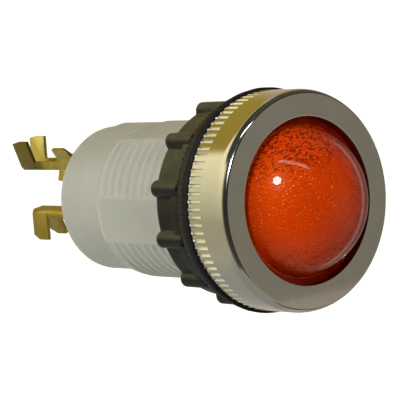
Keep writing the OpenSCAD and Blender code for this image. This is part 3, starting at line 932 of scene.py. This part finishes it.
def build_nut():
    Y0, Y1 = 2.52, 9.22
    base = math.radians(7.0)
    cols = []
    for i in range(12):
        c = base + i * TAU / 12
        for d in np.concatenate([np.linspace(-6.6, 6.6, 27), [-8.2, 8.2, -11.5, 11.5, 15.0]]):
            cols.append(c + math.radians(d))
    th = np.sort(np.array(cols) % TAU)
    ph = (th - base + TAU / 24) % (TAU / 12) - TAU / 24

    def outline(rb, rl, rc=15.95, fil=0.5):
        """Body circle of radius rb with a lug of radius rl, blended."""
        q = rl * rl - (rc * np.sin(ph)) ** 2
        lug = np.where(q > 0, rc * np.cos(ph) + np.sqrt(np.clip(q, 0, None)), 0)
        d = np.clip((fil - np.abs(lug - rb)) / fil, 0, 1)
        big = np.maximum(rb, lug)
        ramp_q = np.where(q > 0, 0.25 * fil * d * d, 0)
        # ease the foot of the lug beyond its own circle
        foot = np.clip(1 - (np.abs(ph) * rc - rl) / 0.35, 0, 1)
        foot = np.where(np.abs(ph) * rc > rl, foot * foot * 0.10, 0)
        return big + ramp_q * 0.5 + foot

    s = Shape()
    rows = []

    def add(r, y):
        rows.append(s.add(ring(th, r, y)))

    B = 13.56
    add(B, Y0 + 0.55)
    add(B + 0.5, Y0)
    add(16.45, Y0)
    for k, dy in ((0.2, 0.02), (0.08, 0.06), (0.0, 0.10)):
        add(16.8 - k, Y0 + dy)
    add(np.maximum(16.8, outline(16.0, 1.10)), Y0 + 0.12)
    # the lug shows past the flange
    add(np.maximum(16.8, outline(16.0, 1.30)), Y0 + 0.24)
    add(np.maximum(16.8, outline(16.0, 1.41)), Y0 + 0.28)
    add(np.maximum(16.8, outline(16.0, 1.45)), Y0 + 0.40)
    add(np.maximum(16.8, outline(16.0, 1.45)), Y0 + 1.80)
    add(np.maximum(16.76, outline(16.0, 1.45)), Y0 + 1.95)
    add(np.maximum(16.62, outline(16.0, 1.45)), Y0 + 2.03)
    add(np.maximum(16.40, outline(16.0, 1.45)), Y0 + 2.05)
    add(np.maximum(16.15, outline(16.0, 1.45)), Y0 + 2.07)
    add(np.maximum(16.04, outline(16.0, 1.45)), Y0 + 2.16)
    add(outline(16.0, 1.45), Y0 + 2.40)
    for y in (4.2, 5.2, 5.7):
        add(outline(16.0 - 0.006 * (y - 2), 1.45 - 0.008 * (y - 2)), Y0 + y)
    e = 0.42
    for a in (15, 35, 55, 72, 85):
        c, q = math.cos(math.radians(a)), math.sin(math.radians(a))
        add(outline(15.97 - e * (1 - c), 1.41 - e * (1 - c)), Y1 - e + e * q)
    add(outline(15.97 - e - 0.06, 1.41 - e - 0.06), Y1)
    add(14.75, Y1)
    add(B + 0.5, Y1)
    add(B, Y1 - 0.55)
    # internal thread
    for y in np.arange(Y1 - 0.7, Y0 + 0.6, -0.25):
        h = 1 - thread_height(th, y, 2.0)
        f = np.clip(min((Y1 - 0.55 - y) / 0.4, (y - Y0 - 0.55) / 0.4), 0, 1)
        add(B + 0.55 * (1 - h) * f, y)
    rows.append(rows[0])
    s.skin(rows)
    ob = s.object("grip_nut", [M_OLIVE], 30)
    return place(ob, "nut", ["ring_nut"], "plastic_olive")


def build_lens_gasket():
    ob = lathe("lens_seal", [(13.2, -6.72), (13.38, -6.9), (15.72, -6.9), (15.9, -6.72), (15.9, -6.28),
                             (15.72, -6.1), (13.38, -6.1), (13.2, -6.28)], [M_RUBBER], 160, 50)
    return place(ob, "lens_set", ["lens_gasket"], "rubber_black")


# ---------------------------------------------------------------- pieces rounded from the CAD solids
def rounded(node_name, name, body, mat, slot, width=0.08, segs=2, angle=28):
    src = frame["nodes"][node_name]
    me = src.data.copy()
    me.name = name
    bm = bmesh.new()
    bm.from_mesh(me)
    bmesh.ops.remove_doubles(bm, verts=bm.verts, dist=1e-6)
    bmesh.ops.dissolve_limit(bm, angle_limit=math.radians(1.0), verts=bm.verts, edges=bm.edges)
    bm.to_mesh(me)
    bm.free()
    me.materials.clear()
    me.materials.append(mat)
    ob = bpy.data.objects.new(name, me)
    sc.collection.objects.link(ob)
    md = ob.modifiers.new("edge", "BEVEL")
    md.width = width * MM
    md.segments = segs
    md.limit_method = "ANGLE"
    md.angle_limit = math.radians(angle)
    md.harden_normals = False
    dg = bpy.context.evaluated_depsgraph_get()
    done = bpy.data.meshes.new_from_object(ob.evaluated_get(dg))
    ob.modifiers.clear()
    ob.data = done
    done.shade_smooth()
    done.set_sharp_from_angle(angle=math.radians(40))
    return place(ob, body, [node_name], slot)


build_bezel()
build_lens()
build_housing()
build_gasket()
build_washer()
build_nut()
build_lens_gasket()
for nm in ("terminal_upper", "terminal_lower", "terminal_side"):
    rounded(nm, nm + "_strip", "barrel_body", M_BRASS, "brass_strip")

# carried-over CAD nodes
for nm, mt in (("lamp", M_GLASS), ("lamp_shell", M_SHELL), ("lamp_carrier", M_BROWN), ("centre_contact", M_BRONZE),
               ("contact_rivets", M_SHELL), ("ballast_resistor", M_COAT), ("lead_sleeve", M_SLEEVE)):
    o = frame["nodes"][nm]
    o.data.materials.clear()
    o.data.materials.append(mt)


# ---------------------------------------------------------------- floor, light, surroundings
def build_floor():
    bm = bmesh.new()
    bmesh.ops.create_grid(bm, x_segments=4, y_segments=4, size=6.0)
    me = bpy.data.meshes.new("floor")
    bm.to_mesh(me)
    bm.free()
    ob = bpy.data.objects.new("floor", me)
    ob.location = (0, 0, -0.25)
    sc.collection.objects.link(ob)
    m, nt, b = new_mat("floor")
    b.inputs["Base Color"].default_value = (0.80, 0.82, 0.88, 1)
    b.inputs["Roughness"].default_value = 0.9
    b.inputs["Emission Color"].default_value = (1, 1, 1, 1)
    b.inputs["Emission Strength"].default_value = 0.74
    me.materials.append(m)
    ob.visible_glossy = False
    ob.visible_diffuse = False
    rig.stage(ob)


def unit(az, el):
    a, e = math.radians(az), math.radians(el)
    return Vector((math.sin(a) * math.cos(e), -math.cos(a) * math.cos(e), math.sin(e)))


def build_world():
    w = bpy.data.worlds.new("studio")
    sc.world = w
    w.use_nodes = True
    nt = w.node_tree
    for n in list(nt.nodes):
        nt.nodes.remove(n)
    out = nt.nodes.new("ShaderNodeOutputWorld")
    bg = nt.nodes.new("ShaderNodeBackground")
    tc = nt.nodes.new("ShaderNodeTexCoord")
    vec = tc.outputs["Generated"]

    def patch(col, az, el, inner, outer, color):
        d = nt.nodes.new("ShaderNodeVectorMath")
        d.operation = "DOT_PRODUCT"
        nt.links.new(vec, d.inputs[0])
        d.inputs[1].default_value = unit(az, el)
        f = maprange(nt, d.outputs["Value"], math.cos(math.radians(outer)), math.cos(math.radians(inner)), 0, 1, True)
        return mix_rgb(nt, f, col, color)

    sep = nt.nodes.new("ShaderNodeSeparateXYZ")
    nt.links.new(vec, sep.inputs[0])
    el = math_node(nt, "ARCSINE", sep.outputs["Z"])
    # front half: dark, with a grey wall and the floor before it to the right
    az_f = math_node(nt, "ARCTAN2", sep.outputs["X"], math_node(nt, "MULTIPLY", sep.outputs["Y"], -1.0))  # 0 toward -Y
    grey = ramp(nt, maprange(nt, az_f, math.radians(33), math.radians(48), 0, 1), [(0.0, (0.30, 0.285, 0.25)), (0.5, (0.262, 0.25, 0.21)), (1.0, (0.245, 0.235, 0.195))])
    high = maprange(nt, el, math.radians(-11), math.radians(-7.5), 0, 0.35, True)
    grey = mix_rgb(nt, high, grey, (0.33, 0.31, 0.27))
    low = maprange(nt, el, math.radians(-14.13), math.radians(-14.30), 0, 1, True)
    grey = mix_rgb(nt, low, grey, (0.42, 0.37, 0.33))
    col = ramp(nt, maprange(nt, el, -1.2, 1.2, 0, 1), [(0.0, (0.10, 0.095, 0.08)), (0.38, (0.05, 0.048, 0.04)), (0.55, (0.035, 0.034, 0.03)), (1.0, (0.06, 0.06, 0.055))])
    # floor before it, in the light below and to the right
    m_low = maprange(nt, el, math.radians(-42), math.radians(-49), 0, 1, True)
    m_rt = math_node(nt, "MULTIPLY", maprange(nt, az_f, math.radians(0), math.radians(9), 0, 1, True),
                     maprange(nt, el, math.radians(-21), math.radians(-27), 0, 1, True))
    col = mix_rgb(nt, math_node(nt, "MAXIMUM", m_low, m_rt), col, (0.36, 0.34, 0.28))
    col = patch(col, 41, -11.5, 13, 24, grey)
    # rear left: a pale wall, bright high up
    wall = ramp(nt, maprange(nt, el, -0.9, 0.8, 0, 1), [(0.0, (0.33, 0.335, 0.325)), (0.13, (0.38, 0.385, 0.36)), (0.235, (0.49, 0.465, 0.39)), (0.41, (0.50, 0.455, 0.335)), (0.48, (0.50, 0.46, 0.33)), (0.62, (0.72, 0.68, 0.46)), (0.78, (1.0, 0.95, 0.62)), (0.92, (1.3, 1.2, 0.76))])
    y_mix = nt.nodes.new("ShaderNodeMix")
    y_mix.data_type = "FLOAT"
    nt.links.new(maprange(nt, el, math.radians(42), math.radians(52), 0, 1, True), y_mix.inputs[0])
    nt.links.new(maprange(nt, sep.outputs["Y"], -0.08, 0.25, 0, 1, True), y_mix.inputs[2])
    nt.links.new(maprange(nt, sep.outputs["Y"], 0.30, 0.50, 0, 1, True), y_mix.inputs[3])
    y_mask = y_mix.outputs[0]
    col = mix_rgb(nt, y_mask, col, wall)
    # rear right and top: a warm dark area
    az = math_node(nt, "ARCTAN2", sep.outputs["X"], sep.outputs["Y"])  # 0 toward +Y, positive toward +X
    m_az = maprange(nt, az, math.radians(-22), math.radians(-15.5), 0, 1, True)
    m_hi = maprange(nt, az, math.radians(62), math.radians(80), 1, 0, True)
    far = maprange(nt, az, math.radians(36), math.radians(43), 0, 1, True)
    m_el = maprange(nt, el, math.radians(-8), math.radians(8), 0, 1, True)
    mask = math_node(nt, "MULTIPLY", math_node(nt, "MULTIPLY", m_az, m_el), math_node(nt, "MULTIPLY", m_hi, y_mask))
    col = mix_rgb(nt, mask, col, mix_rgb(nt, far, (0.42, 0.315, 0.055), (0.50, 0.41, 0.31)))
    # soft white round the key
    col = patch(col, -55, 40.5, 5, 17, (1.5, 1.5, 1.5))
    col = patch(col, -55, 42.7, 5, 9, (2.6, 2.5, 2.4))
    # a long thin lamp overhead
    d1 = Vector((-0.217, -0.193, 0.957)).normalized()
    d2 = Vector((-0.052, -0.476, 0.878)).normalized()
    d3 = Vector((0.162, -0.687, 0.708)).normalized()
    pn = d1.cross(d3).normalized()
    across = nt.nodes.new("ShaderNodeVectorMath")
    across.operation = "DOT_PRODUCT"
    nt.links.new(vec, across.inputs[0])
    across.inputs[1].default_value = pn
    along = nt.nodes.new("ShaderNodeVectorMath")
    along.operation = "DOT_PRODUCT"
    nt.links.new(vec, along.inputs[0])
    along.inputs[1].default_value = (d1 + d3).normalized()
    half = math.acos(max(-1, min(1, d1.dot(d3)))) / 2
    off = float(pn.dot(d2)) * 0.5
    dist = math_node(nt, "ABSOLUTE", math_node(nt, "SUBTRACT", across.outputs["Value"], off))
    strip = math_node(nt, "MULTIPLY", maprange(nt, dist, 0.055, 0.022, 0, 1, True),
                      maprange(nt, along.outputs["Value"], math.cos(half * 1.15), math.cos(half * 0.92), 0, 1, True))
    col = mix_rgb(nt, strip, col, (9.0, 8.7, 8.2))
    # rear right: dark, with the bright edge of the backdrop curving round it
    look = Vector((0.6170, 0.7617, -0.1979)).normalized()
    side_u = Vector((0.7315, -0.6478, -0.2125))
    side_v = Vector((0.2901, 0.0136, 0.9569))

    def along_dir(d):
        n = nt.nodes.new("ShaderNodeVectorMath")
        n.operation = "DOT_PRODUCT"
        nt.links.new(vec, n.inputs[0])
        n.inputs[1].default_value = d
        return n.outputs["Value"]

    lk = along_dir(look)
    aim = along_dir((side_u * math.cos(math.radians(-15)) + side_v * math.sin(math.radians(-15))).normalized())
    right_rear = maprange(nt, az, math.radians(48), math.radians(60), 0, 1, True)
    col = mix_rgb(nt, math_node(nt, "MULTIPLY", right_rear, maprange(nt, sep.outputs["Y"], -0.4, -0.1, 0, 1, True)), col, (0.10, 0.08, 0.06))
    c = lambda a: math.cos(math.radians(a))
    ring_m = math_node(nt, "MULTIPLY", maprange(nt, lk, c(50.5), c(48.5), 0, 1, True), maprange(nt, lk, c(38.5), c(41.5), 0, 1, True))
    ring_m = math_node(nt, "MULTIPLY", ring_m, maprange(nt, aim, 0.17, 0.36, 0, 1, True))
    col = mix_rgb(nt, ring_m, col, (0.66, 0.60, 0.58))
    lp = nt.nodes.new("ShaderNodeLightPath")
    seen = mix_rgb(nt, lp.outputs["Is Camera Ray"], col, (0.95, 0.95, 0.95))
    nt.links.new(seen, bg.inputs["Color"])
    bg.inputs["Strength"].default_value = 1.0
    nt.links.new(bg.outputs[0], out.inputs["Surface"])


def area(name, loc, target, power, size, size_y=None, color=(1, 1, 1)):
    d = bpy.data.lights.new(name, "AREA")
    d.energy = power
    d.color = color
    d.shape = "DISK" if size_y is None else "RECTANGLE"
    d.size = size
    if size_y is not None:
        d.size_y = size_y
    o = bpy.data.objects.new(name, d)
    o.location = loc
    o.rotation_euler = (Vector(loc) - Vector(target)).to_track_quat("Z", "Y").to_euler()
    sc.collection.objects.link(o)
    return o


build_floor()
build_world()
key = Vector((-0.602, -0.422, 0.678)) * 0.62
area("key", key, (0, 0, 0), 2.4, 0.13)
low = area("fill_low", (-0.30, 0.10, -0.20), (0, 0.01, 0), 1.1, 0.35)
low.visible_glossy = False
front = area("fill_front", (-0.10, -0.55, 0.12), (0, 0, 0), 1.3, 0.35)
front.visible_glossy = False

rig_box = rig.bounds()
with open("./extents.json", "w") as fh:
    json.dump({"cad": [list(map(float, c)) for c in cad_box], "visual": [list(map(float, c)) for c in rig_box]}, fh)
